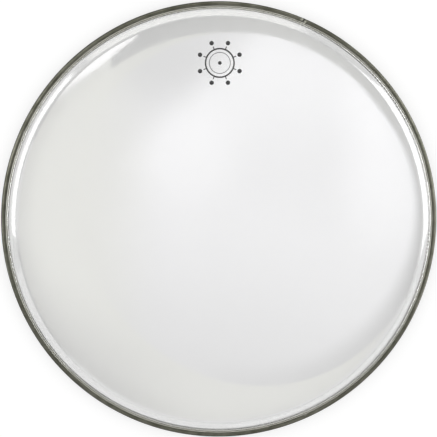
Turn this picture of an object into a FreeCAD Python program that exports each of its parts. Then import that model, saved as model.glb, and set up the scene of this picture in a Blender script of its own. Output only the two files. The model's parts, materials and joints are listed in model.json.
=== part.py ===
import FreeCAD, Part

import math
import os

# A clear two-ply drum head for a 14 inch drum, in millimetres.
# The hoop stands on Z = 0 and the playing side faces +Z. The origin is the centre of the
# hoop's underside. Every section is drawn as (distance from the axis, height) and turned about Z.

# Driving dimensions: the drum that the head goes on
drum_diameter = 355.6
shell_clearance = 1.45
bearing_edge_inset = 5.3

# Driving dimensions: the rolled aluminium channel
hoop_width = 6.5
hoop_height = 9.5
outer_wall = 1.0
channel_floor = 1.0
inner_wall = 0.9
inner_wall_drop = 0.9
flange_thickness = 1.1
hook_thickness = 0.9
hook_drop = 0.9
shoulder_fillet = 1.8
foot_fillet = 0.5
tip_fillet = 0.4
cavity_fillet = 0.4
fillet_share = 0.45

# Driving dimensions: the butt weld that closes the channel into a ring
weld_position = 67.0
weld_width = 0.8
weld_proud = 0.15

# Driving dimensions: the two films
film_thickness = 0.178
collar_rise = 6.4
collar_angle = 40.0
crown_radius = 8.5
root_radius = 3.0
skirt_gap = 1.2
hole_pitch = 12.6
hole_diameter = 3.2

# Driving dimensions: the casting resin
mouth_gap = 0.8
resin_drop = 0.1
meniscus_depth = 0.15

# Places worked out from the driving dimensions
shell_radius = drum_diameter / 2
bore_radius = shell_radius + shell_clearance
outer_radius = bore_radius + hoop_width
cavity_radius = outer_radius - outer_wall
mouth_inner_radius = bore_radius + inner_wall
skirt_radius = mouth_inner_radius + mouth_gap + film_thickness
mouth_outer_radius = skirt_radius + film_thickness + mouth_gap
flange_underside = hoop_height - flange_thickness
hook_bottom = flange_underside - hook_drop
inner_wall_top = hoop_height - inner_wall_drop
resin_level = inner_wall_top - resin_drop
skirt_bottom = channel_floor + skirt_gap
playing_radius = shell_radius - bearing_edge_inset
ply_height = hoop_height + collar_rise - film_thickness
weld_sweep = math.degrees(weld_width / outer_radius)
hole_height = (skirt_bottom + hook_bottom) / 2
hole_count = round(2 * math.pi * skirt_radius / hole_pitch)


def at(radius, height):
    """A point of a section, in the plane through the axis."""
    return FreeCAD.Vector(radius, 0, height)


def line(start, end):
    """A straight edge of a section."""
    return Part.LineSegment(start, end).toShape()


def bend(start, middle, end):
    """A round edge of a section."""
    return Part.Arc(start, middle, end).toShape()


def face_inside(edges):
    """The face inside the closed outline that these edges make."""
    return Part.Face(Part.Wire(Part.__sortEdges__(edges)))


def outline(corners):
    """The face inside straight sides whose corners are (radius, height, fillet).

    A fillet takes at most fillet_share of the shorter side beside it.
    """
    points = [at(radius, height) for radius, height, _ in corners]
    rounds = []
    edges = []
    for index, (_, _, fillet) in enumerate(corners):
        corner = points[index]
        back = points[index - 1] - corner
        ahead = points[(index + 1) % len(points)] - corner
        half_angle = back.getAngle(ahead) / 2
        setback = min(fillet / math.tan(half_angle), fillet_share * min(back.Length, ahead.Length))
        back.normalize()
        ahead.normalize()
        start = corner + back * setback
        end = corner + ahead * setback
        radius = setback * math.tan(half_angle)
        towards_centre = (back + ahead).normalize()
        middle = corner + towards_centre * (radius / math.sin(half_angle) - radius)
        edges.append(bend(start, middle, end))
        rounds.append((start, end))
    for index, (start, _) in enumerate(rounds):
        edges.append(line(rounds[index - 1][1], start))
    return face_inside(edges)


def turned(face, first_angle=0.0, sweep=360.0):
    """The solid that a section makes when it is turned about the axis."""
    placed = face.copy()
    placed.rotate(FreeCAD.Vector(0, 0, 0), FreeCAD.Vector(0, 0, 1), first_angle)
    return placed.revolve(FreeCAD.Vector(0, 0, 0), FreeCAD.Vector(0, 0, 1), sweep)


def channel_section(outside):
    """The extruded channel: foot, outer wall, hooked top flange and the lower inner wall."""
    hook_radius = mouth_outer_radius + hook_thickness
    return outline([
        (bore_radius, 0, foot_fillet),
        (outside, 0, foot_fillet),
        (outside, hoop_height, shoulder_fillet),
        (mouth_outer_radius, hoop_height, tip_fillet),
        (mouth_outer_radius, hook_bottom, tip_fillet),
        (hook_radius, hook_bottom, tip_fillet),
        (hook_radius, flange_underside, cavity_fillet),
        (cavity_radius, flange_underside, cavity_fillet),
        (cavity_radius, channel_floor, cavity_fillet),
        (mouth_inner_radius, channel_floor, cavity_fillet),
        (mouth_inner_radius, inner_wall_top, tip_fillet),
        (bore_radius, inner_wall_top, tip_fillet),
    ])


def film_line(offset):
    """Edges of a film surface from the axis to the skirt's edge, offset outwards from the ply joint."""
    slope = math.radians(collar_angle)
    crown = crown_radius + offset
    root = root_radius + offset
    crown_centre = at(playing_radius, ply_height - crown_radius)
    collar_top = crown_centre + at(math.sin(slope), math.cos(slope)) * crown
    crown_end = crown_centre + at(0, 1) * crown
    crown_middle = crown_centre + at(math.sin(slope / 2), math.cos(slope / 2)) * crown

    root_run = root_radius * (1 - math.sin(slope))
    collar_run = skirt_radius - root_run - playing_radius - crown_radius * math.sin(slope)
    collar_top_height = ply_height - crown_radius * (1 - math.cos(slope))
    collar_foot_height = collar_top_height - collar_run * math.tan(slope)
    root_centre = at(skirt_radius - root_radius, collar_foot_height - root_radius * math.cos(slope))
    turn = math.pi / 2 - slope
    collar_foot = root_centre + at(math.cos(turn), math.sin(turn)) * root
    root_middle = root_centre + at(math.cos(turn / 2), math.sin(turn / 2)) * root
    root_end = root_centre + at(1, 0) * root
    skirt_end = at(skirt_radius + offset, skirt_bottom)

    return [
        line(at(0, ply_height + offset), crown_end),
        bend(crown_end, crown_middle, collar_top),
        line(collar_top, collar_foot),
        bend(collar_foot, root_middle, root_end),
        line(root_end, skirt_end),
    ]


def film_section(inner_offset, outer_offset):
    """One film: the playing surface, crown bend, collar, root bend and skirt, at its thickness."""
    inner = film_line(inner_offset)
    outer = film_line(outer_offset)
    skirt_edge = line(
        at(skirt_radius + outer_offset, skirt_bottom),
        at(skirt_radius + inner_offset, skirt_bottom),
    )
    on_axis = line(at(0, ply_height + inner_offset), at(0, ply_height + outer_offset))
    return face_inside(outer + [skirt_edge] + inner + [on_axis])


def skirt_holes():
    """Radial drills for the row of perforations, where the resin keys through both films."""
    reach = 2 * film_thickness + mouth_gap
    drills = []
    for index in range(hole_count):
        angle = 2 * math.pi * index / hole_count
        outwards = FreeCAD.Vector(math.cos(angle), math.sin(angle), 0)
        start = outwards * (skirt_radius - reach) + FreeCAD.Vector(0, 0, hole_height)
        drills.append(Part.makeCylinder(hole_diameter / 2, 2 * reach, start, outwards))
    return Part.makeCompound(drills)


def resin_section():
    """The channel filled up to the resin's surface, which dips between the metal and the films."""
    inner_side = mouth_inner_radius - inner_wall / 2
    outer_side = cavity_radius + outer_wall / 2
    below = channel_floor / 2
    dip_height = resin_level - meniscus_depth
    inner_bank = at(mouth_inner_radius, resin_level)
    film_bank = at(skirt_radius, resin_level)
    outer_bank = at(mouth_outer_radius, resin_level)
    inner_dip = at((mouth_inner_radius + skirt_radius) / 2, dip_height)
    outer_dip = at((skirt_radius + mouth_outer_radius) / 2, dip_height)
    block = face_inside([
        line(at(inner_side, resin_level), inner_bank),
        bend(inner_bank, inner_dip, film_bank),
        bend(film_bank, outer_dip, outer_bank),
        line(outer_bank, at(mouth_outer_radius, flange_underside)),
        line(at(mouth_outer_radius, flange_underside), at(outer_side, flange_underside)),
        line(at(outer_side, flange_underside), at(outer_side, below)),
        line(at(outer_side, below), at(inner_side, below)),
        line(at(inner_side, below), at(inner_side, resin_level)),
    ])
    return block.cut(channel_section(outer_radius)).Faces[0]


def make_parts():
    """Every piece of the head, by name."""
    holes = skirt_holes()
    half_weld = weld_sweep / 2
    channel = channel_section(outer_radius)
    bead = channel_section(outer_radius + weld_proud)
    film_pair = turned(film_section(-film_thickness, film_thickness)).cut(holes)
    return {
        "flesh_hoop": turned(channel, weld_position + half_weld, 360 - weld_sweep),
        "hoop_weld": turned(bead, weld_position - half_weld, weld_sweep),
        "casting_resin": turned(resin_section()).cut(film_pair),
        "upper_film": turned(film_section(0, film_thickness)).cut(holes),
        "lower_film": turned(film_section(-film_thickness, 0)).cut(holes),
    }


os.makedirs("parts", exist_ok=True)
for name, shape in make_parts().items():
    shape.exportStep(f"parts/{name}.step")
    print(f"{name}: {len(shape.Solids)} solid, {shape.Volume / 1000:.2f} cm3, valid {shape.isValid()}")
print(f"hoop {2 * bore_radius:.1f} inside and {2 * outer_radius:.1f} outside")
print(f"{hole_count} holes in each skirt, {hole_diameter} in diameter")
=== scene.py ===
# %% [markdown]
# A clear drum head lies on a pale floor, and the camera looks down on its playing side.
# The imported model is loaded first. It is a fixed frame: every piece below takes its size and place from
# it, in metres, with +Z out of the playing side and the origin at the centre of the hoop's underside.

# %% Load the frame
import json
import math

import bmesh
import bpy
from mathutils import Matrix, Vector


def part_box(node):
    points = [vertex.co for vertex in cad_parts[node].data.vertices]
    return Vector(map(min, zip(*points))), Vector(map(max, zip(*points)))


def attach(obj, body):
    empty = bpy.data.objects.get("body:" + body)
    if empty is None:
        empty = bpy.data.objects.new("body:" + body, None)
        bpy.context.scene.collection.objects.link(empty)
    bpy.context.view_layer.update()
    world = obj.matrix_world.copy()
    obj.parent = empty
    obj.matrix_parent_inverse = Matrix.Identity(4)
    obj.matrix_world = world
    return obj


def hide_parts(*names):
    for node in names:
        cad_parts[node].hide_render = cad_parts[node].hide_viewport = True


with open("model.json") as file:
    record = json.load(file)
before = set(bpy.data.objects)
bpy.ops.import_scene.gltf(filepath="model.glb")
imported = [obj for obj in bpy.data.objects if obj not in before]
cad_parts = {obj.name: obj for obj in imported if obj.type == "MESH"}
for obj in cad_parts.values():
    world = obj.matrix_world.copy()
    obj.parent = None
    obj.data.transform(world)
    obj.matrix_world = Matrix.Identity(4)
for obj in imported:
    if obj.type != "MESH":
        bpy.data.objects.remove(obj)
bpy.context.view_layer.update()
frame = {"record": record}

# %% [markdown]
# The camera is set before anything is modelled, because every comparison with the picture depends on it.
# In the picture the hoop is almost a true circle, but its dark band is wider at the upper left than at the
# lower right. So the camera looks down from a few degrees off the axis, towards the upper left, and sees a
# little of the outer wall there. A long lens keeps that lean about the same all round the ring.

# %% Set the camera
picture_pixels = 437
hoop_radius_pixels = 217.8
hoop_centre_pixels = (218.97, 219.07)
camera_distance = 6.0
camera_tilt = math.radians(4.5)
camera_lean = math.radians(140)
outline_height = 0.0041
sensor_width_mm = 36.0

hoop_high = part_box("flesh_hoop")[1]
outer_radius = hoop_high.x
hoop_height = hoop_high.z
pixel = outer_radius / hoop_radius_pixels

target = Vector((0, 0, outline_height))
sight = Vector((math.sin(camera_tilt), 0, math.cos(camera_tilt)))
sight.rotate(Matrix.Rotation(camera_lean, 3, "Z"))
picture_right = Vector((0, 1, 0)).cross(sight).normalized()
picture_up = sight.cross(picture_right)
eye = target + camera_distance * sight
eye += (picture_pixels / 2 - hoop_centre_pixels[0]) * pixel * picture_right
eye += (hoop_centre_pixels[1] - picture_pixels / 2) * pixel * picture_up

camera = bpy.data.objects.new("camera", bpy.data.cameras.new("camera"))
bpy.context.scene.collection.objects.link(camera)
bpy.context.scene.camera = camera
camera.data.sensor_width = sensor_width_mm
camera.data.lens = sensor_width_mm * camera_distance / (picture_pixels * pixel)
turn = Matrix((picture_right, picture_up, sight)).transposed()
camera.matrix_world = Matrix.Translation(eye) @ turn.to_4x4()
print(f"one pixel is {1000 * pixel:.3f} mm, and the lens is {camera.data.lens:.0f} mm")

# %% [markdown]
# All the pieces are rings or discs about one axis, so each starts as a section in the plane of X and Z.
# A section could be a typed list of points, but two operators draw it as a pen would: extruding the last
# vertex draws a straight run, and spinning it about a centre draws a bend. The lathe then turns the section.

# %% Tools for drawing and turning a section
full_turn = 2 * math.pi
merge_distance = 1e-7


def draw_run(builder, pen, radius, height, pieces=1):
    """Extrude the pen's vertex to a new place in equal steps, and give the last vertex."""
    step = (Vector((radius, 0, height)) - pen.co) / pieces
    for _ in range(pieces):
        pen = bmesh.ops.extrude_vert_indiv(builder, verts=[pen])["verts"][0]
        bmesh.ops.translate(builder, verts=[pen], vec=step)
    return pen


def draw_path(builder, pen, places):
    """Draw straight runs through places, each a radius and a height, and give the last vertex."""
    for radius, height in places:
        pen = draw_run(builder, pen, radius, height)
    return pen


def draw_bend(builder, pen, radius, height, angle, steps):
    """Spin the pen's vertex about a centre in the section's plane, and give the last vertex."""
    made = bmesh.ops.spin(
        builder, geom=[pen], cent=(radius, 0, height), axis=(0, 1, 0), angle=angle, steps=steps
    )
    return made["geom_last"][0]


def turn_section(builder, steps, first_angle=0.0, sweep=full_turn):
    """Turn every edge of the section about the axis."""
    start = Matrix.Rotation(first_angle, 3, "Z")
    bmesh.ops.rotate(builder, verts=builder.verts[:], cent=(0, 0, 0), matrix=start)
    section = builder.verts[:] + builder.edges[:]
    turning = {"cent": (0, 0, 0), "axis": (0, 0, 1), "angle": sweep, "steps": steps}
    bmesh.ops.spin(builder, geom=section, use_merge=sweep == full_turn, **turning)
    bmesh.ops.remove_doubles(builder, verts=builder.verts[:], dist=merge_distance)


def flat_disc(builder, radius, segments, place):
    """A flat disc at a place, which is a matrix. It gives the disc's one face."""
    made = bmesh.ops.create_circle(builder, cap_ends=True, segments=segments, radius=radius, matrix=place)
    return made["verts"][0].link_faces[0]


print("pen and lathe ready")


# %% Tools for making a piece
def make_object(builder, name, material):
    """An object of the bmesh, at the origin, with its finish."""
    mesh = bpy.data.meshes.new(name)
    builder.to_mesh(mesh)
    builder.free()
    mesh.materials.append(material)
    made = bpy.data.objects.new(name, mesh)
    bpy.context.scene.collection.objects.link(made)
    return made


def finish_piece(builder, name, material, node=None):
    """Make a piece of the drum head, on the only body that it has."""
    bmesh.ops.recalc_face_normals(builder, faces=builder.faces[:])
    for face in builder.faces:
        face.smooth = True
    open_edges = sum(not edge.is_manifold for edge in builder.edges)
    volume = builder.calc_volume(signed=True)
    piece = make_object(builder, name, material)
    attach(piece, "root")
    if node:
        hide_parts(node)
    faces = len(piece.data.polygons)
    print(f"{name}: {faces} faces, {open_edges} open edges, {1e6 * volume:.3f} cm3")


print("tools for pieces ready")

# %% [markdown]
# Every finish is a small tree of shader nodes. Setting each node by hand takes many lines, so one helper
# makes a node, sets its choices and either links or sets its inputs. A constant stays on the shader's own
# socket. Patterns read Object coordinates, which are the coordinates of the model itself.


# %% Tools for nodes
def new_finish(name):
    """A material with an empty tree."""
    material = bpy.data.materials.new(name)
    material.use_nodes = True
    material.node_tree.nodes.clear()
    return material, material.node_tree


def add(tree, kind, inputs=None, **choices):
    """Make a node. An input that is a socket is linked, and any other value is set."""
    node = tree.nodes.new(kind)
    for choice, value in choices.items():
        setattr(node, choice, value)
    for socket, value in (inputs or {}).items():
        if isinstance(value, bpy.types.NodeSocket):
            tree.links.new(value, node.inputs[socket])
        else:
            node.inputs[socket].default_value = value
    return node


def complete(material, shader):
    """Link the shader to the material's output, and say how many nodes the finish has."""
    tree = material.node_tree
    tree.links.new(shader, add(tree, "ShaderNodeOutputMaterial").inputs["Surface"])
    print(f"{material.name}: {len(tree.nodes)} nodes")
    return material


def principled(material, sockets):
    """Complete a material with one Principled shader."""
    shader = add(material.node_tree, "ShaderNodeBsdfPrincipled", sockets)
    return complete(material, shader.outputs["BSDF"])


print("tools for nodes ready")


# %% Tools for sums
def work_out(tree, operation, *values):
    """A Math node's result."""
    return add(tree, "ShaderNodeMath", dict(enumerate(values)), operation=operation).outputs[0]


def product(tree, first, *others):
    """All these values multiplied."""
    for other in others:
        first = work_out(tree, "MULTIPLY", first, other)
    return first


def between(tree, value, low, high, out_low=0.0, out_high=1.0):
    """A smooth step from one value to another as the input goes from low to high."""
    limits = {"Value": value, "From Min": low, "From Max": high, "To Min": out_low, "To Max": out_high}
    return add(tree, "ShaderNodeMapRange", limits, interpolation_type="SMOOTHSTEP").outputs["Result"]


def blend_values(tree, factor, first, second):
    """A mix of two numbers."""
    return add(tree, "ShaderNodeMix", {0: factor, 2: first, 3: second}).outputs[0]


def blend_colours(tree, factor, first, second):
    """A mix of two colours."""
    mix_inputs = {0: factor, 6: first, 7: second}
    return add(tree, "ShaderNodeMix", mix_inputs, data_type="RGBA").outputs[2]


def split(tree, vector):
    """The X, Y and Z of a vector."""
    return add(tree, "ShaderNodeSeparateXYZ", {"Vector": vector}).outputs


def vector_sum(tree, operation, *vectors):
    """A Vector Math node."""
    return add(tree, "ShaderNodeVectorMath", dict(enumerate(vectors)), operation=operation).outputs


print("tools for sums ready")

# %% Tools for patterns
noise_middle = (0.3, 0.7)


def object_place(tree):
    """Object coordinates."""
    return add(tree, "ShaderNodeTexCoord").outputs["Object"]


def from_axis(tree, place):
    """A place with its height taken away: its heading and its distance from the axis."""
    flat = vector_sum(tree, "MULTIPLY", place, (1, 1, 0))["Vector"]
    heading = vector_sum(tree, "NORMALIZE", flat)["Vector"]
    distance = vector_sum(tree, "LENGTH", flat)["Value"]
    return heading, distance


def noise(tree, vector, scale, detail=5.0, roughness=0.6, **more):
    """A noise pattern between 0 and 1, in 4 dimensions where W is given."""
    dimensions = "4D" if "W" in more else "3D"
    values = {"Vector": vector, "Scale": scale, "Detail": detail, "Roughness": roughness, **more}
    return add(tree, "ShaderNodeTexNoise", values, noise_dimensions=dimensions).outputs["Fac"]


def bumped(tree, height, strength, depth):
    """A normal that a pattern tilts, as if it were this deep in metres."""
    inputs = {"Height": height, "Strength": strength, "Distance": depth}
    return add(tree, "ShaderNodeBump", inputs).outputs["Normal"]


print("tools for patterns ready")

# %% [markdown]
# The hoop is an aluminium channel that is rolled into a ring: a foot, an outer wall, a flange with a hooked
# lip, and a lower inner wall. It could be three tubes joined, but one closed section turned on the axis has
# the true wall everywhere. Its corners are rounded with a vertex bevel before it is turned. The ring is cut
# where the weld goes, and both ends are capped.

# %% Sizes of the channel
bore = next(mount for mount in frame["record"]["mounts"] if mount["name"] == "shell_bore")
bore_radius = bore["dims"]["r_mm"] / 1000
upper_low, upper_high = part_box("upper_film")
lower_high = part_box("lower_film")[1]
resin_low, resin_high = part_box("casting_resin")
weld_low, weld_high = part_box("hoop_weld")

inner_wall = 0.0009
inner_wall_drop = 0.0009
mouth_gap = 0.0008
flange_thickness = 0.0011
hook_thickness = 0.0009
hook_drop = 0.0009
shoulder_round = 0.0018
foot_round = 0.0005
small_round = 0.0004
round_segments = 5
round_profile = 0.5
weld_width = 0.0008

film_thickness = upper_high.z - lower_high.z
skirt_radius = upper_high.x - film_thickness
channel_floor = resin_low.z
cavity_radius = resin_high.x
inner_wall_top = hoop_height - inner_wall_drop
flange_underside = hoop_height - flange_thickness
hook_bottom = flange_underside - hook_drop
mouth_inner_radius = bore_radius + inner_wall
mouth_outer_radius = skirt_radius + film_thickness + mouth_gap
hook_radius = mouth_outer_radius + hook_thickness
weld_middle = (weld_low + weld_high) / 2
weld_angle = math.atan2(weld_middle.y, weld_middle.x)
weld_sweep = weld_width / outer_radius
print(f"the weld is at {math.degrees(weld_angle):.1f} degrees")
print(f"each film is {1e6 * film_thickness:.0f} microns thick")


# %% Draw the channel's section
def channel_section(builder):
    """Draw the closed outline of the channel, with its corners rounded."""
    corners = [
        (bore_radius, 0, foot_round),
        (outer_radius, 0, foot_round),
        (outer_radius, hoop_height, shoulder_round),
        (mouth_outer_radius, hoop_height, small_round),
        (mouth_outer_radius, hook_bottom, small_round),
        (hook_radius, hook_bottom, small_round),
        (hook_radius, flange_underside, small_round),
        (cavity_radius, flange_underside, small_round),
        (cavity_radius, channel_floor, small_round),
        (mouth_inner_radius, channel_floor, small_round),
        (mouth_inner_radius, inner_wall_top, small_round),
        (bore_radius, inner_wall_top, small_round),
    ]
    verts = [builder.verts.new((radius, 0, height)) for radius, height, _ in corners]
    builder.faces.new(verts)
    for vert, (_, _, size) in zip(verts, corners):
        rounding = {"offset": size, "segments": round_segments, "profile": round_profile}
        bmesh.ops.bevel(builder, geom=[vert], affect="VERTICES", material=-1, **rounding)
    bmesh.ops.delete(builder, geom=builder.faces[:], context="FACES_ONLY")


def turned_channel(steps, first_angle, sweep):
    """The channel turned through part of a turn, with both its ends capped."""
    builder = bmesh.new()
    channel_section(builder)
    turn_section(builder, steps, first_angle, sweep)
    rims = [edge for edge in builder.edges if edge.is_boundary]
    bmesh.ops.holes_fill(builder, edges=rims, sides=0)
    return builder


print(f"the flange is {1000 * (outer_radius - mouth_outer_radius):.2f} mm wide")

# %% [markdown]
# Rolled aluminium is not a mirror. The rolls leave fine lines along the ring, the oxide is a little uneven
# and olive in tone, and the edges are rubbed brighter. The lines are a noise that changes fast across the
# section and slowly round the ring: its four coordinates are the heading, the distance and the height.

# %% Finish of the rolled aluminium
metal_dark = (0.055, 0.055, 0.041, 1)
metal_pale = (0.142, 0.141, 0.115, 1)
metal_rubbed = (0.28, 0.28, 0.25, 1)
metal_tones = (0.36, 0.64)
metal_roughness = (0.42, 0.28)
roll_line_scale = 2600.0
roll_line_length = 5.0
roll_line_detail = 6.0
roll_line_strength = 0.12
roll_line_depth = 0.00005
oxide_scale = 90.0
oxide_share = 0.45
rubbed_edges = (0.52, 0.62)
rubbed_share = 0.6


def rolled_aluminium():
    """Mill-finished aluminium with lines along the ring."""
    material, tree = new_finish("rolled_aluminium")
    place = object_place(tree)
    heading, distance = from_axis(tree, place)
    around = split(tree, heading)
    along = {
        "X": product(tree, around["X"], roll_line_length),
        "Y": product(tree, around["Y"], roll_line_length),
        "Z": product(tree, distance, roll_line_scale),
    }
    roll = add(tree, "ShaderNodeCombineXYZ", along).outputs["Vector"]
    height = product(tree, split(tree, place)["Z"], roll_line_scale)
    lines = noise(tree, roll, 1.0, roll_line_detail, W=height)
    tone = blend_values(tree, oxide_share, lines, noise(tree, place, oxide_scale))
    colour = blend_colours(tree, between(tree, tone, *metal_tones), metal_dark, metal_pale)
    edges = add(tree, "ShaderNodeNewGeometry").outputs["Pointiness"]
    rubbed = between(tree, edges, *rubbed_edges, 0.0, rubbed_share)
    sockets = {
        "Base Color": blend_colours(tree, rubbed, colour, metal_rubbed),
        "Metallic": 1.0,
        "Roughness": between(tree, tone, *noise_middle, *metal_roughness),
        "Normal": bumped(tree, lines, roll_line_strength, roll_line_depth),
    }
    return principled(material, sockets)


hoop_finish = rolled_aluminium()

# %% Turn the hoop
hoop_steps = 360

hoop_builder = turned_channel(hoop_steps, weld_angle + weld_sweep / 2, full_turn - weld_sweep)
finish_piece(hoop_builder, "rolled_hoop", hoop_finish, "flesh_hoop")

# %% [markdown]
# The two ends of the channel are butt welded, and the bead is dressed almost flush. It has the channel's own
# section, so it is turned through the gap in a few steps, and then the steps are pushed out along their
# normals by different amounts, as the puddles of a weld are. Its finish is darker, with pale metal on top.

# %% Finish of the weld
weld_dark = (0.030, 0.029, 0.024, 1)
weld_pale = (0.17, 0.17, 0.15, 1)
weld_tones = (0.45, 0.7)
weld_roughness = (0.6, 0.42)
weld_grain_scale = 1800.0
weld_grain_strength = 0.35
weld_grain_depth = 0.0001


def dressed_weld():
    """Weld metal, dull and dark in its hollows."""
    material, tree = new_finish("dressed_weld")
    grain = noise(tree, object_place(tree), weld_grain_scale)
    sockets = {
        "Base Color": blend_colours(tree, between(tree, grain, *weld_tones), weld_dark, weld_pale),
        "Metallic": 1.0,
        "Roughness": between(tree, grain, *noise_middle, *weld_roughness),
        "Normal": bumped(tree, grain, weld_grain_strength, weld_grain_depth),
    }
    return principled(material, sockets)


weld_finish = dressed_weld()

# %% Turn the weld
weld_steps = 8
weld_proud = 0.00009
puddles = 3
puddle_share = 0.35

weld_builder = turned_channel(weld_steps, weld_angle - weld_sweep / 2, weld_sweep)
bmesh.ops.recalc_face_normals(weld_builder, faces=weld_builder.faces[:])
weld_builder.normal_update()
for vert in weld_builder.verts:
    across = (math.atan2(vert.co.y, vert.co.x) - weld_angle) / weld_sweep
    swell = math.cos(math.pi * across) * (1 + puddle_share * math.cos(puddles * full_turn * across))
    outside = math.hypot(vert.co.x, vert.co.y) > outer_radius - shoulder_round
    if outside and vert.co.z > foot_round:
        vert.co += vert.normal * weld_proud * max(swell, 0)
finish_piece(weld_builder, "weld_bead", weld_finish, "hoop_weld")

# %% [markdown]
# The films' skirts stand in the channel and resin is poured round them. Only its surface shows, as a pale
# line in the mouth of the channel. It climbs a little where it wets the metal and the films. One closed
# outline goes round the films' slot and along the channel's walls, just clear of them.

# %% Finish of the resin
resin_pale = (0.56, 0.55, 0.46, 1)
resin_amber = (0.44, 0.43, 0.34, 1)
resin_tones = (0.35, 0.7)
resin_roughness = (0.24, 0.14)
resin_cloud_scale = 160.0
resin_ior = 1.52
skin_ior = 2.5
skin_roughness = 0.1
bubble_scale = 1500.0
bubble_edge = (0.12, 0.22)
bubble_strength = 0.25
bubble_depth = 0.00008


def cured_resin():
    """Cured resin, milky under a glossy skin, with tiny bubbles and darker places."""
    material, tree = new_finish("cured_resin")
    place = object_place(tree)
    clouds = noise(tree, place, resin_cloud_scale)
    bubbles = add(tree, "ShaderNodeTexVoronoi", {"Vector": place, "Scale": bubble_scale})
    pits = between(tree, bubbles.outputs["Distance"], *bubble_edge)
    sockets = {
        "Base Color": blend_colours(tree, between(tree, clouds, *resin_tones), resin_amber, resin_pale),
        "Roughness": between(tree, clouds, *noise_middle, *resin_roughness),
        "IOR": resin_ior,
        "Specular IOR Level": 1.0,
        "Coat Weight": 1.0,
        "Coat IOR": skin_ior,
        "Coat Roughness": skin_roughness,
        "Normal": bumped(tree, pits, bubble_strength, bubble_depth),
    }
    return principled(material, sockets)


resin_finish = cured_resin()

# %% Sizes of the resin
resin_drop = 0.0001
meniscus_depth = 0.00015
wetting_gap = 0.00002
meniscus_steps = 5
resin_steps = 240

resin_level = inner_wall_top - resin_drop
slot_inner = skirt_radius - film_thickness - wetting_gap
slot_outer = skirt_radius + film_thickness + wetting_gap
slot_bottom = upper_low.z - wetting_gap
wall_inner = mouth_inner_radius + wetting_gap
wall_outer = cavity_radius - wetting_gap
wall_top = flange_underside - wetting_gap
wall_bottom = channel_floor + wetting_gap
lip_inner = mouth_outer_radius - wetting_gap
lip_outer = hook_radius + wetting_gap
lip_bottom = hook_bottom - wetting_gap
print(f"the resin stands {1000 * resin_level:.2f} mm high")


# %% Pour the resin
def meniscus(builder, pen, radius, height):
    """A shallow round hollow from the pen to a place at the same height."""
    half_width = (radius - pen.co.x) / 2
    curve = (half_width ** 2 + meniscus_depth ** 2) / (2 * meniscus_depth)
    angle = 2 * math.asin(half_width / curve)
    middle = pen.co.x + half_width
    return draw_bend(builder, pen, middle, height + curve - meniscus_depth, -angle, meniscus_steps)


slot = [(slot_inner, slot_bottom), (slot_outer, slot_bottom), (slot_outer, resin_level)]
lip = [(lip_inner, lip_bottom), (lip_outer, lip_bottom), (lip_outer, wall_top)]
walls = [(wall_outer, wall_top), (wall_outer, wall_bottom), (wall_inner, wall_bottom)]

resin_builder = bmesh.new()
first = resin_builder.verts.new((wall_inner, 0, resin_level))
pen = meniscus(resin_builder, first, slot_inner, resin_level)
pen = draw_path(resin_builder, pen, slot)
pen = meniscus(resin_builder, pen, lip_inner, resin_level)
pen = draw_path(resin_builder, pen, lip + walls)
resin_builder.edges.new((pen, first))
turn_section(resin_builder, resin_steps)
finish_piece(resin_builder, "poured_resin", resin_finish, "casting_resin")

# %% [markdown]
# The head has two clear films, one nested in the other. Each is flat, bends over a round crown, falls along
# a collar and turns down into the channel. Its surface is drawn once, turned, and given its thickness. Where
# the collar meets the hoop the film is crimped, so the rings there are divided more finely and moved along
# their normals in small waves. The flat part has slow, shallow waves, which make reflections look alive.
# Smooth shading blends the normals of neighbouring rings, so a narrow ring guards the flat from the crown.

# %% Sizes of the films
collar_angle = math.radians(40)
crown_radius = 0.0085
root_radius = 0.003
playing_radius = 0.1725
ply_gap = 0.00002
ply_thickness = film_thickness - ply_gap / 2
flat_rings = 14
guard_width = 0.0004
crown_rings = 16
collar_rings = 3
root_rings = 6
skirt_rings = 4
film_steps = 360


def film_profile(builder, offset):
    """Draw one film's outer surface from the axis to the edge of its skirt, offset from the ply joint."""
    joint_height = lower_high.z
    crown_height = joint_height - crown_radius
    root_run = root_radius * (1 - math.sin(collar_angle))
    collar_run = skirt_radius - root_run - playing_radius - crown_radius * math.sin(collar_angle)
    collar_top_height = crown_height + crown_radius * math.cos(collar_angle)
    foot_height = collar_top_height - collar_run * math.tan(collar_angle)
    root = root_radius + offset
    root_height = foot_height - root_radius * math.cos(collar_angle)
    root_centre = skirt_radius - root_radius
    foot_radius = root_centre + root * math.sin(collar_angle)
    foot_height = root_height + root * math.cos(collar_angle)
    pen = builder.verts.new((0, 0, joint_height + offset))
    pen = draw_run(builder, pen, playing_radius - guard_width, joint_height + offset, flat_rings)
    pen = draw_run(builder, pen, playing_radius, joint_height + offset)
    pen = draw_bend(builder, pen, playing_radius, crown_height, collar_angle, crown_rings)
    pen = draw_run(builder, pen, foot_radius, foot_height, collar_rings)
    pen = draw_bend(builder, pen, root_centre, root_height, math.pi / 2 - collar_angle, root_rings)
    draw_run(builder, pen, skirt_radius + offset, upper_low.z, skirt_rings)


print(f"the flat of the films is {2000 * playing_radius:.0f} mm across")

# %% Waves and crimps
wave_height = 0.00004
wave_length = 0.21
wave_start_x = 0.7
wave_start_y = -0.5
crimp_count = 360
crimp_depth = 0.00016
crimp_inner_radius = 0.1778
crimp_cuts = 3
crimp_reach = 0.0005
crimp_lowest = hoop_height - crimp_reach


def film_wave(x, y):
    """How far the playing surface stands off its plane, fading out at the crown."""
    inside = max(0.0, 1 - (x * x + y * y) / playing_radius ** 2)
    across = math.sin(full_turn * x / wave_length + wave_start_x)
    along = math.cos(full_turn * y / wave_length + wave_start_y)
    return wave_height * inside * across * along


def crimp(radius, angle):
    """How far the collar's foot is pushed out by its crimps."""
    inside = (radius - crimp_inner_radius) / (skirt_radius - crimp_inner_radius)
    share = math.sin(math.pi * min(max(inside, 0), 1))
    return crimp_depth * share * math.cos(crimp_count * angle)


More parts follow.
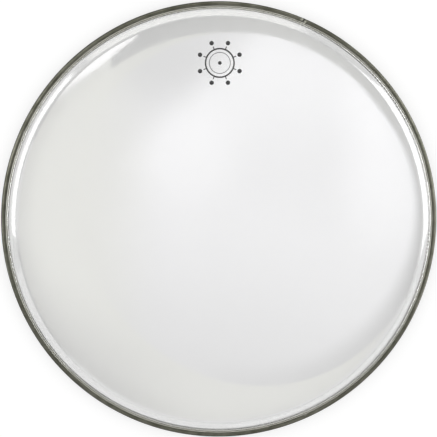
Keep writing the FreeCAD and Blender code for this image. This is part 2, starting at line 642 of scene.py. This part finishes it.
def crimped(vert):
    """Whether a vertex lies where the film is crimped."""
    return math.hypot(vert.co.x, vert.co.y) > crimp_inner_radius and vert.co.z > crimp_lowest


def goes_round(edge):
    """Whether an edge runs round the ring, not across it."""
    first, second = edge.verts
    same_height = abs(first.co.z - second.co.z) < merge_distance
    return same_height and abs(first.co.to_2d().length - second.co.to_2d().length) < merge_distance


print(f"{crimp_count} crimps, {1000 * full_turn * skirt_radius / crimp_count:.2f} mm apart")

# %% [markdown]
# Polyester film is clear and glossy, and a little grey where light passes through it. Light could be traced
# through it as through glass, but then the floor under it would get no light from the lamps, because a
# shadow ray stops at glass. So shadow rays, and the rays that gather soft light, see a tinted clear film,
# and all other rays see a real dielectric with its reflections. The heated collar is a little milky.

# %% Finish of the clear film
film_clear = (0.990, 0.990, 0.989, 1)
film_shade = (0.970, 0.971, 0.968, 1)
film_ior = 1.64
film_roughness = (0.012, 0.03)
haze_scale = 35.0
haze_range = (0.3, 0.8)
milky_collar = 0.84
milky_start = (playing_radius, 0.1765)
milky_end = (0.1778, 0.1788)


def clear_film():
    """Polished clear film."""
    material, tree = new_finish("clear_film")
    place = object_place(tree)
    distance = from_axis(tree, place)[1]
    haze = noise(tree, place, haze_scale)
    milky = between(tree, distance, *milky_start, 1.0, milky_collar)
    clear_again = between(tree, distance, *milky_end)
    sockets = {
        "Base Color": film_clear,
        "Roughness": between(tree, haze, *haze_range, *film_roughness),
        "IOR": film_ior,
        "Transmission Weight": work_out(tree, "MAXIMUM", milky, clear_again),
    }
    gloss = add(tree, "ShaderNodeBsdfPrincipled", sockets).outputs["BSDF"]
    passing = add(tree, "ShaderNodeBsdfTransparent", {"Color": film_shade}).outputs["BSDF"]
    ray = add(tree, "ShaderNodeLightPath")
    shadowed = {0: ray.outputs["Is Shadow Ray"], 1: gloss, 2: passing}
    lit = add(tree, "ShaderNodeMixShader", shadowed).outputs["Shader"]
    gathered = {0: ray.outputs["Is Diffuse Ray"], 1: lit, 2: passing}
    return complete(material, add(tree, "ShaderNodeMixShader", gathered).outputs["Shader"])


film_finish = clear_film()


# %% Make both films
def film_piece(name, node, offset):
    """One film, from its drawn surface to a closed sheet."""
    builder = bmesh.new()
    film_profile(builder, offset)
    turn_section(builder, film_steps)
    bmesh.ops.recalc_face_normals(builder, faces=builder.faces[:])
    ring_edges = [edge for edge in builder.edges if goes_round(edge) and all(map(crimped, edge.verts))]
    bmesh.ops.subdivide_edges(builder, edges=ring_edges, cuts=crimp_cuts, use_grid_fill=True)
    for vert in builder.verts:
        radius = math.hypot(vert.co.x, vert.co.y)
        if crimped(vert):
            angle = math.atan2(vert.co.y, vert.co.x)
            vert.co += vert.normal * crimp(radius, angle)
        elif radius < playing_radius:
            vert.co.z += film_wave(vert.co.x, vert.co.y)
    bmesh.ops.solidify(builder, geom=builder.faces[:], thickness=ply_thickness)
    finish_piece(builder, name, film_finish, node)


film_piece("top_film", "upper_film", film_thickness)
film_piece("under_film", "lower_film", -ply_gap / 2)

# %% [markdown]
# A small dark mark is printed on the playing side, near the rim. Here it is a plain tuning diagram: a ring
# for the drum, and eight dots with short ticks for its tension rods. It could be painted in the film's
# shader, but printed ink is a thin coat with a crisp edge. So it is drawn flat from discs, insets and thin
# bars, given the thickness of ink, and laid on the film, wave and all.

# %% Finish of the ink
ink_black = (0.012, 0.012, 0.012, 1)
ink_worn = (0.060, 0.060, 0.058, 1)
ink_wear = (0.5, 0.72)
ink_roughness = (0.42, 0.6)
ink_grain_scale = 2400.0


def printed_ink():
    """Screen-printed ink, a little thin in places."""
    material, tree = new_finish("printed_ink")
    grain = noise(tree, object_place(tree), ink_grain_scale)
    sockets = {
        "Base Color": blend_colours(tree, between(tree, grain, *ink_wear), ink_black, ink_worn),
        "Roughness": between(tree, grain, *noise_middle, *ink_roughness),
    }
    return principled(material, sockets)


ink_finish = printed_ink()

# %% Tools for printing
mark_middle = Vector((0, 0.1335, 0))
mark_place = Matrix.Translation(mark_middle)
mark_segments = 96
tick_inner = 0.0128
tick_outer = 0.0150
tick_width = 0.0008


def print_ring(builder, radius, width):
    """A flat ring: a disc that is inset by the ring's width and opened."""
    disc = flat_disc(builder, radius, mark_segments, mark_place)
    bmesh.ops.inset_individual(builder, faces=[disc], thickness=width)
    bmesh.ops.delete(builder, geom=[disc], context="FACES_ONLY")


def print_tick(builder, angle):
    """A short bar from the ring towards a tension rod."""
    shape = Matrix.Diagonal((tick_outer - tick_inner, tick_width, 1, 1))
    outwards = Matrix.Translation(((tick_inner + tick_outer) / 2, 0, 0))
    place = mark_place @ Matrix.Rotation(angle, 4, "Z") @ outwards @ shape
    bmesh.ops.create_grid(builder, x_segments=1, y_segments=1, size=0.5, matrix=place)


print(f"the mark's middle is {1000 * mark_middle.length:.1f} mm from the axis")

# %% Print the mark
mark_rings = [(0.0128, 0.0013), (0.0092, 0.0005)]
centre_dot = 0.0016
dot_radius = 0.0019
dot_segments = 24
rod_count = 8
rod_distance = 0.0182
ink_thickness = 0.00001
ink_clearance = 0.000004

ink_builder = bmesh.new()
for radius, width in mark_rings:
    print_ring(ink_builder, radius, width)
flat_disc(ink_builder, centre_dot, dot_segments, mark_place)
for rod in range(rod_count):
    rod_angle = full_turn * (rod + 0.5) / rod_count
    rod_heading = Vector((math.cos(rod_angle), math.sin(rod_angle), 0))
    rod_place = Matrix.Translation(mark_middle + rod_distance * rod_heading)
    flat_disc(ink_builder, dot_radius, dot_segments, rod_place)
    print_tick(ink_builder, rod_angle)
bmesh.ops.recalc_face_normals(ink_builder, faces=ink_builder.faces[:])
bmesh.ops.solidify(ink_builder, geom=ink_builder.faces[:], thickness=ink_thickness)
ink_low = min(vert.co.z for vert in ink_builder.verts)
for vert in ink_builder.verts:
    vert.co.z += upper_high.z - ink_low + ink_clearance + film_wave(vert.co.x, vert.co.y)
finish_piece(ink_builder, "ink_mark", ink_finish)

# %% [markdown]
# The floor is pale and plain. In the picture the ground is pure white, so the floor adds a little light of
# its own for rays that come from the camera, straight or through the film, and the head's shadow still
# falls on it. The floor lies a hair under the hoop, so that the two don't share a plane.

# %% Floor
floor_radius = 8.0
floor_segments = 96
floor_drop = 0.0003
floor_grey = 0.38
camera_glow = 0.68
film_glow = 0.422


def pale_floor():
    """A matt floor that the camera sees as white."""
    material, tree = new_finish("pale_floor")
    matt = add(tree, "ShaderNodeBsdfDiffuse", {"Color": (floor_grey, floor_grey, floor_grey, 1)})
    ray = add(tree, "ShaderNodeLightPath")
    direct = product(tree, ray.outputs["Is Camera Ray"], camera_glow)
    through = product(tree, ray.outputs["Is Transmission Ray"], film_glow)
    glow = add(tree, "ShaderNodeEmission", {"Strength": work_out(tree, "ADD", direct, through)})
    both = add(tree, "ShaderNodeAddShader", {0: matt.outputs["BSDF"], 1: glow.outputs["Emission"]})
    material.cycles.emission_sampling = "NONE"
    return complete(material, both.outputs["Shader"])


floor_builder = bmesh.new()
flat_disc(floor_builder, floor_radius, floor_segments, Matrix.Translation((0, 0, -floor_drop)))
make_object(floor_builder, "floor", pale_floor())
print(f"the floor is {2 * floor_radius:.0f} m across")

# %% [markdown]
# The light is a white tent with soft panels. The tent lights everything evenly. A clear film shows little
# but what it mirrors, so the panels are placed where their reflections lie in the picture. They could light
# the head too, but then its colours would no longer render as they are written: they show in mirrors alone.

# %% The tent
tent_light = 0.97
gap_light = 0.36
gap_edge = (math.cos(math.radians(25)), math.cos(math.radians(21)))
gap_back = (-0.02, 0.03)


def light_tent():
    """Even light from all round, with a dim gap overhead towards the back, and white to the camera."""
    world = bpy.data.worlds.new("light_tent")
    bpy.context.scene.world = world
    world.use_nodes = True
    tree = world.node_tree
    tree.nodes.clear()
    heading = split(tree, add(tree, "ShaderNodeTexCoord").outputs["Generated"])
    high = between(tree, heading["Z"], *gap_edge)
    behind = between(tree, heading["Y"], *gap_back)
    strength = blend_values(tree, product(tree, high, behind), tent_light, gap_light)
    ray = add(tree, "ShaderNodeLightPath")
    seen = blend_values(tree, ray.outputs["Is Camera Ray"], strength, 1.0)
    background = add(tree, "ShaderNodeBackground", {"Color": (1, 1, 1, 1), "Strength": seen})
    output = add(tree, "ShaderNodeOutputWorld")
    tree.links.new(background.outputs["Background"], output.inputs["Surface"])


light_tent()
print(f"the tent shines at {tent_light}")

# %% [markdown]
# A panel overhead is drawn in pixels of the picture, measured from the hoop's centre. Each of its points is
# then followed from the camera to the film, mirrored there, and put where that ray meets the panel's height.
# The pixels are kept on the mesh as an attribute, so that a panel's light can fade across the picture.

# %% Tools for the panels
overhead_height = 1.6
card_spacing = 0.02
card_layers = [
    "overhead_panel", "slim_strip", "left_card", "inner_card", "back_card", "front_card", "corner_card"
]
film_top = upper_high.z


def mirrored_place(across, along, height):
    """The place at a height over the head that the film shows at these pixels from the hoop's centre."""
    aim = target + (across * picture_right + along * picture_up) * pixel
    ray = aim - eye
    on_film = eye + ray * (film_top - eye.z) / ray.z
    return on_film + Vector((ray.x, ray.y, -ray.z)) * (height - film_top) / -ray.z


def panel(builder, name, shine_of):
    """A panel that shows in reflections alone. A function of its tree gives its strength and colour."""
    material, tree = new_finish(name)
    shine = add(tree, "ShaderNodeEmission", shine_of(tree)).outputs["Emission"]
    if "cover" in builder.verts.layers.float:
        cover = add(tree, "ShaderNodeAttribute", attribute_name="cover").outputs["Fac"]
        nothing = add(tree, "ShaderNodeBsdfTransparent").outputs["BSDF"]
        faded = {0: between(tree, cover, 0.0, 1.0), 1: nothing, 2: shine}
        shine = add(tree, "ShaderNodeMixShader", faded).outputs["Shader"]
    piece = make_object(builder, name, complete(material, shine))
    piece.visible_camera = False
    piece.visible_diffuse = False
    piece.visible_shadow = False
    return piece


def overhead_card(builder, name, shine_of):
    """A panel overhead, drawn in pixels. A later layer lies higher, hidden by the earlier ones."""
    height = overhead_height + card_layers.index(name) * card_spacing
    kept = builder.verts.layers.float_vector.new("picture")
    for vert in builder.verts:
        vert[kept] = vert.co
        vert.co = mirrored_place(vert.co.x, vert.co.y, height)
    panel(builder, name, shine_of)


def picture_place(tree):
    """The pixels that a card was drawn in."""
    return add(tree, "ShaderNodeAttribute", attribute_name="picture").outputs["Vector"]


centre_mirrors = mirrored_place(0, 0, overhead_height)
print("the hoop's centre mirrors, m:", [round(side, 2) for side in centre_mirrors])

# %% [markdown]
# The biggest panel is an oval, and most of the playing surface mirrors it. It is dim at the left of a soft
# slanted step and brighter at the right, and its right edge fades out. It could be several lamps, but one
# shape whose light is worked out from the pixels can follow the picture everywhere.

# %% Light across the overhead panel
left_card_light = 1.1
step_slope = 0.92
step_start = -139.0
step_limit = -85.0
step_softness_along = (-80, 30)
step_softness = (80.0, 34.0)
back_along = (40, 160)
back_light = (1.5, 1.85)
right_across = (105, 160)
right_along = (-60, 40)
right_light = 0.45
bright_middle = (-35, 70, 0)
bright_reach = (10, 80)
bright_light = 0.3
front_along = (-190, 20)
front_share = (0.56, 1.0)
front_lean = 0.3


def overhead_level(tree, place):
    """Dim on the left, brighter on the right and at the back, and dim at the front."""
    across, along, _ = split(tree, place)
    slanted = work_out(tree, "MULTIPLY_ADD", along, step_slope, step_start)
    past_step = work_out(tree, "SUBTRACT", across, work_out(tree, "MAXIMUM", slanted, step_limit))
    softness = between(tree, along, *step_softness_along, *step_softness)
    rise = between(tree, past_step, product(tree, softness, -1.0), softness)
    back = between(tree, along, *back_along, *back_light)
    middle = blend_values(tree, rise, left_card_light, back)
    right_end = between(tree, along, *right_along, 0.0, right_light)
    right = between(tree, across, *right_across, 0.0, right_end)
    from_bright = vector_sum(tree, "DISTANCE", place, bright_middle)["Value"]
    bright = between(tree, from_bright, *bright_reach, bright_light, 0.0)
    level = work_out(tree, "ADD", work_out(tree, "ADD", middle, right), bright)
    lift = product(tree, work_out(tree, "MAXIMUM", across, 0.0), front_lean)
    front = between(tree, work_out(tree, "ADD", along, lift), *front_along, *front_share)
    return product(tree, level, front)


print(f"the panel shines at {left_card_light} to {back_light[1]}")

# %% Fading edge of the overhead panel
overhead_middle = (30, 10, 0)
overhead_reach = (182.3, 168, 1)
overhead_turn = math.radians(-48)
fade_start_along = (-150, 110)
fade_start = (0.84, 0.965)
fade_share_along = (-170, -30)
fade_share = (0.5, 0.9)
fade_back_along = (105, 150)
fade_across = (-60, 130)
dim_middle = (-62, 166, 0)
dim_reach = (10, 75)
dim_share = 0.72


def overhead_kept(tree, place):
    """The share of the light that is left at the soft right edge and at one dim place at the back."""
    across, along, _ = split(tree, place)
    settle = {
        "Vector": place,
        "Location": overhead_middle,
        "Rotation": (0, 0, overhead_turn),
        "Scale": overhead_reach,
    }
    settled = add(tree, "ShaderNodeMapping", settle, vector_type="TEXTURE").outputs["Vector"]
    outwards = vector_sum(tree, "LENGTH", settled)["Value"]
    fade = between(tree, outwards, between(tree, along, *fade_start_along, *fade_start), 1.0)
    right_half = between(tree, across, *fade_across)
    share = between(tree, along, *fade_share_along, *fade_share)
    below_back = between(tree, along, *fade_back_along, 1.0, 0.0)
    lost = product(tree, fade, right_half, share, below_back)
    from_dim = vector_sum(tree, "DISTANCE", place, dim_middle)["Value"]
    dim = between(tree, from_dim, *dim_reach, dim_share, 1.0)
    return product(tree, work_out(tree, "SUBTRACT", 1.0, lost), dim)


print(f"the edge keeps {1 - fade_share[1]:.1f} to {1 - fade_share[0]:.1f} of the light")

# %% The overhead panel
overhead_segments = 128
warm_white = (1.0, 1.0, 0.89, 1)
cool_white = (0.975, 0.968, 1.0, 1)
warm_across = (-140, -50)


def overhead_shine(tree):
    """Light that fades at the edge, warm at the left and cool at the right."""
    place = picture_place(tree)
    strength = product(tree, overhead_level(tree, place), overhead_kept(tree, place))
    cool = between(tree, split(tree, place)["X"], *warm_across)
    return {"Strength": strength, "Color": blend_colours(tree, cool, warm_white, cool_white)}


overhead_rotation = Matrix.Rotation(overhead_turn, 4, "Z")
overhead_place = Matrix.Translation(overhead_middle) @ overhead_rotation
overhead_builder = bmesh.new()
flat_disc(overhead_builder, 1.0, overhead_segments, overhead_place @ Matrix.Diagonal((*overhead_reach, 1)))
overhead_card(overhead_builder, "overhead_panel", overhead_shine)

# %% [markdown]
# Round the big panel there are six cards, each a disc about the hoop's centre that is cut along lines.
# A slim bright one gives the white sliver at the upper left: it is what a straight edge leaves of a disc.

# %% Tools for the cards
card_segments = 256
centre = (0, 0)
to_left = (-1, 0)
to_back = (0, 1)
to_front = (0, -1)


def round_card(radius, *cuts):
    """A disc in pixels. Each cut is a point on a line and a heading to the side that is kept."""
    builder = bmesh.new()
    flat_disc(builder, radius, card_segments, Matrix())
    for point, heading in cuts:
        everything = builder.verts[:] + builder.edges[:] + builder.faces[:]
        bmesh.ops.bisect_plane(
            builder, geom=everything, plane_co=(*point, 0), plane_no=(*heading, 0), clear_inner=True
        )
    return builder


def across_shine(tree, ends, light):
    """Light that changes between two places from left to right."""
    across = split(tree, picture_place(tree))["X"]
    return {"Strength": between(tree, across, *ends, *light), "Color": warm_white}


def quarter_left(angle):
    """The heading a quarter turn to the left of an angle."""
    return -math.sin(angle), math.cos(angle)


print(f"cards have {card_segments} corners before they are cut")

# %% The slim strip
sliver_radius = 217.0
sliver_heading = math.radians(128.7)
sliver_spread = math.radians(15)
sliver_chord = 194.7
sliver_light = 2.5
sliver_soft_across = (-150, -118)
sliver_softness = (5.0, 0.6)
sliver_out = (math.cos(sliver_heading), math.sin(sliver_heading))
sliver_foot = [sliver_chord * side for side in sliver_out]


def sliver_shine(tree):
    """Bright, with a straight edge that is softer towards its left end."""
    across, along, _ = split(tree, picture_place(tree))
    outwards = work_out(tree, "MULTIPLY_ADD", across, sliver_out[0], 0.0)
    outwards = work_out(tree, "MULTIPLY_ADD", along, sliver_out[1], outwards)
    inside = work_out(tree, "SUBTRACT", outwards, sliver_chord)
    softness = between(tree, across, *sliver_soft_across, *sliver_softness)
    return {"Strength": between(tree, inside, 0.0, softness, left_card_light, sliver_light)}


sliver = round_card(
    sliver_radius,
    (sliver_foot, sliver_out),
    (centre, quarter_left(sliver_heading - sliver_spread)),
    (centre, quarter_left(sliver_heading + sliver_spread + math.pi)),
)
overhead_card(sliver, "slim_strip", sliver_shine)

# %% [markdown]
# Three cards carry the light on to the rim, at the left and along the front. They could be one, but the
# rim's edge lies a little further in at the upper left than beside it, so that part has a smaller disc.

# %% The left, inner and front cards
left_card_radius = 201.5
left_card_end = (-108.5, 0)
left_front_along = (-190, -40)
left_front_share = (0.6, 1.0)
left_rim = (180, 204)
left_rim_share = (1.0, 0.68)
left_corner = (140, 200)
left_corner_share = 0.68
front_card_light = 0.93
front_across = (-130, 20)
inner_card_radius = 186.3
inner_card_end = (20, 0)
inner_across = (-115, -70)
inner_light = (1.02, 0.86)


def left_shine(tree):
    """Even at the left, dimmer towards the front and the rim, and dimmest between them."""
    place = picture_place(tree)
    across, along, _ = split(tree, place)
    front = between(tree, along, *left_front_along, *left_front_share)
    rim = between(tree, vector_sum(tree, "LENGTH", place)["Value"], *left_rim, *left_rim_share)
    to_corner = product(tree, work_out(tree, "ADD", across, along), -math.sqrt(0.5))
    corner = between(tree, to_corner, *left_corner, left_card_light, left_corner_share * left_card_light)
    to_right = between(tree, across, *front_across)
    level = blend_values(tree, to_right, product(tree, front, rim, corner), front_card_light)
    return {"Strength": level, "Color": warm_white}


left_card = round_card(left_card_radius, (left_card_end, to_left), (centre, to_back))
overhead_card(left_card, "left_card", left_shine)
inner_card = round_card(inner_card_radius, (inner_card_end, to_left), (centre, to_back))
overhead_card(inner_card, "inner_card", lambda tree: across_shine(tree, inner_across, inner_light))
front_card = round_card(left_card_radius, (centre, to_front))
overhead_card(front_card, "front_card", left_shine)

# %% [markdown]
# A dim half disc behind them makes the grey crescent along the back and the soft grey band along the right.
# The last and widest card is dim too: it greys the crown at the lower left, and fades into the tent.

# %% The back and corner cards
back_card_radius = 300.0
back_card_turn = math.radians(-23)
back_across = (-90, 80)
back_card_light = (0.08, gap_light)
corner_card_radius = 720.0
corner_card_end = (-100, 0)
corner_light = 0.2
corner_front = (-0.76, -0.58)
corner_left = (-0.2, -0.02)
corner_outside = (520, corner_card_radius)


def corner_shine(tree):
    """Dim at the lower left, and as bright as the tent at both ends and outside."""
    heading, outwards = from_axis(tree, picture_place(tree))
    along = split(tree, heading)["Y"]
    front_end = between(tree, along, *corner_front, tent_light, corner_light)
    left_end = between(tree, along, *corner_left, corner_light, tent_light)
    outer_end = between(tree, outwards, *corner_outside, corner_light, tent_light)
    ends = work_out(tree, "MAXIMUM", front_end, left_end)
    return {"Strength": work_out(tree, "MAXIMUM", ends, outer_end)}


back_card = round_card(back_card_radius, (centre, quarter_left(back_card_turn)))
overhead_card(back_card, "back_card", lambda tree: across_shine(tree, back_across, back_card_light))
corner_card = round_card(corner_card_radius, (centre, to_front), (corner_card_end, to_left))
overhead_card(corner_card, "corner_card", corner_shine)

# %% [markdown]
# The collar's round crown mirrors what stands round the head, from high up to the horizon. So each highlight
# on it is one flat panel far off, and its corners are headings and angles from the zenith, in degrees. Each
# panel is inset, and an attribute that falls from 1 to 0 across the inset makes its edge soft.

# %% Panels all round
panel_distance = 6.0
panel_light = 3.4
left_low_light = 4.2
front_right_light = 1.35
behind_light = 1.65
behind_low_light = 1.4
left_gap_light = 0.6
front_gap_light = 0.5
wide_edge = 0.25
low_edge = 0.08
slim_edge = 0.06
plain_white = (1, 1, 1, 1)
cream_white = (1.0, 0.995, 0.95, 1)


def far_panel(name, strength, corners, colour=plain_white, soft_edge=wide_edge):
    """A flat panel far off with soft edges. Its corners are headings and angles from the zenith."""
    builder = bmesh.new()
    cover = builder.verts.layers.float.new("cover")
    verts = []
    for heading, zenith in corners:
        place = Vector((0, 0, panel_distance))
        place.rotate(Matrix.Rotation(math.radians(zenith), 3, "Y"))
        place.rotate(Matrix.Rotation(math.radians(heading), 3, "Z"))
        verts.append(builder.verts.new(place))
    face = builder.faces.new(verts)
    face.normal_update()
    bmesh.ops.inset_individual(builder, faces=[face], thickness=soft_edge)
    for vert in face.verts:
        vert[cover] = 1.0
    panel(builder, name, lambda tree: {"Strength": strength, "Color": colour})


far_panel("left_panel", panel_light, [(133.5, 26), (196, 24), (187, 67), (134.5, 70)])
far_panel("right_panel", panel_light, [(41, 23), (35.5, 83), (-6, 85), (-18, 31)])
left_low_corners = [(135, 84), (192, 84), (192, 90), (135, 90)]
far_panel("left_low_panel", left_low_light, left_low_corners, soft_edge=low_edge)
right_low_corners = [(40, 86), (-12, 86), (-12, 90), (40, 90)]
far_panel("right_low_panel", panel_light, right_low_corners, soft_edge=low_edge)
far_panel("front_right_panel", front_right_light, [(-18, 45), (-18, 70), (-85, 70), (-85, 45)])
far_panel("back_panel", behind_light, [(128, 24), (129, 80), (62, 80), (54, 20)], cream_white)
left_gap_corners = [(128, 24), (133.4, 16), (134.4, 69), (129, 80)]
far_panel("back_left_gap", left_gap_light, left_gap_corners, soft_edge=slim_edge)
far_panel("back_right_gap", gap_light, [(54, 20), (62, 80), (35.7, 86), (41, 23)])
far_panel("back_low_panel", behind_low_light, [(98, 80), (62, 80), (62, 88), (96, 88)], cream_white)
far_panel("back_low_gap", gap_light, [(134.4, 80), (98, 80), (96, 90), (134.4, 90)])
far_panel("front_left_gap", front_gap_light, [(196, 14), (206, 16), (198, 87), (187, 66)])

# %% [markdown]
# At its left and right the foot of the collar looks bright, because its steep bend mirrors the pale ground
# beside the head. Two cards lie there. Each is one straight edge that is spun through part of a turn. Rays
# that pass through the film don't see the cards, so none of them shows through the head from low down.

# %% Cards on the floor
floor_card_height = 0.001
floor_card_start = 0.25
floor_card_end = 5.8
floor_card_steps = 24
left_floor_light = 8.0
left_floor_headings = (135, 200)
right_floor_light = 9.0
right_floor_headings = (-30, 55)


def floor_card(name, strength, first_heading, last_heading):
    """A bright card on the floor beside the head, between two headings in degrees."""
    builder = bmesh.new()
    pen = builder.verts.new((floor_card_start, 0, floor_card_height))
    draw_run(builder, pen, floor_card_end, floor_card_height)
    sweep = math.radians(last_heading - first_heading)
    turn_section(builder, floor_card_steps, math.radians(first_heading), sweep)
    piece = panel(builder, name, lambda tree: {"Strength": strength})
    piece.visible_transmission = False


floor_card("left_floor_card", left_floor_light, *left_floor_headings)
floor_card("right_floor_card", right_floor_light, *right_floor_headings)

# %% [markdown]
# Last, the colours are shown as they render, with the Standard view transform.

# %% Finish
bpy.context.scene.view_settings.view_transform = "Standard"
